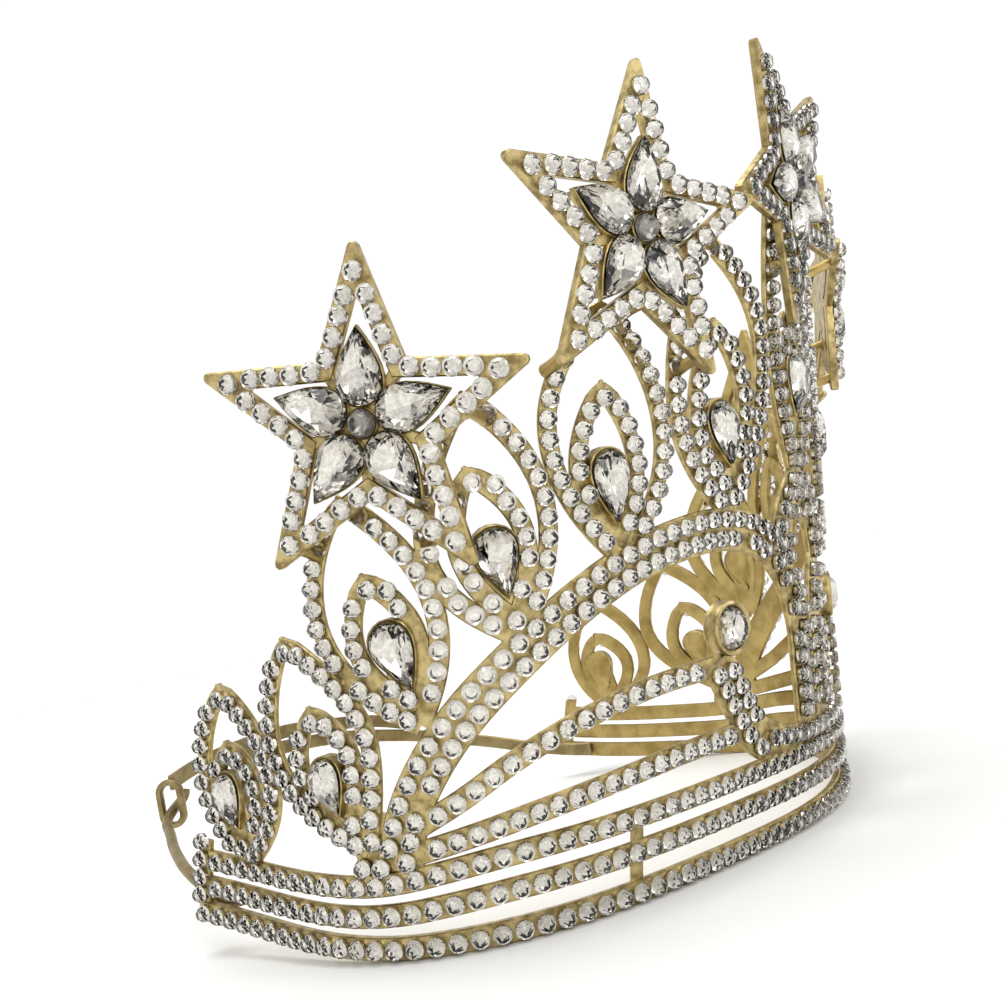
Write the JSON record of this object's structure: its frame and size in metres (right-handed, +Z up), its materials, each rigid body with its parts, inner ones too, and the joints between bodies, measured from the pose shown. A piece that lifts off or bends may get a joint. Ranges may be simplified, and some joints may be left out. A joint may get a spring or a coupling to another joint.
{
  "type": "regalia crown",
  "caption": "Open ring crown of pierced antique gold strips set with clear stones, with standing stars, pear stones in leaf shapes, and a raised strap behind closed by a hook.",
  "frame": {"origin": "middle of the overall box at the resting plane", "axes": "+Z up, front of the crown towards -Y, the wearer's left towards +X"},
  "size_m": [0.1904, 0.1791, 0.1503],
  "materials": {
    "antique_gold": "antiqued gold plate, satin on the inside",
    "strap_gold": "dull gold plate",
    "clear_stone": "cut and foiled behind"
  },
  "bodies": {
    "root": {"crown_frame": "antique_gold", "back_strap": "strap_gold", "hook_wire": "strap_gold", "leaf_1_left_stone": "clear_stone", "leaf_2_left_stone": "clear_stone", "leaf_3_left_stone": "clear_stone", "leaf_4_left_stone": "clear_stone", "leaf_5_left_stone": "clear_stone", "leaf_6_left_stone": "clear_stone", "finial_left_stone": "clear_stone", "leaf_1_right_stone": "clear_stone", "leaf_2_right_stone": "clear_stone", "leaf_3_right_stone": "clear_stone", "leaf_4_right_stone": "clear_stone", "leaf_5_right_stone": "clear_stone", "leaf_6_right_stone": "clear_stone", "finial_right_stone": "clear_stone", "leaf_centre_stone": "clear_stone", "star_low_left_pear_1": "clear_stone", "star_low_left_pear_2": "clear_stone", "star_low_left_pear_3": "clear_stone", "star_low_left_pear_4": "clear_stone", "star_low_left_pear_5": "clear_stone", "star_low_left_round": "clear_stone", "star_low_right_pear_1": "clear_stone", "star_low_right_pear_2": "clear_stone", "star_low_right_pear_3": "clear_stone", "star_low_right_pear_4": "clear_stone", "star_low_right_pear_5": "clear_stone", "star_low_right_round": "clear_stone", "star_mid_left_pear_1": "clear_stone", "star_mid_left_pear_2": "clear_stone", "star_mid_left_pear_3": "clear_stone", "star_mid_left_pear_4": "clear_stone", "star_mid_left_pear_5": "clear_stone", "star_mid_left_round": "clear_stone", "star_mid_right_pear_1": "clear_stone", "star_mid_right_pear_2": "clear_stone", "star_mid_right_pear_3": "clear_stone", "star_mid_right_pear_4": "clear_stone", "star_mid_right_pear_5": "clear_stone", "star_mid_right_round": "clear_stone", "star_front_pear_1": "clear_stone", "star_front_pear_2": "clear_stone", "star_front_pear_3": "clear_stone", "star_front_pear_4": "clear_stone", "star_front_pear_5": "clear_stone", "star_front_round": "clear_stone"}
  },
  "joints": []
}
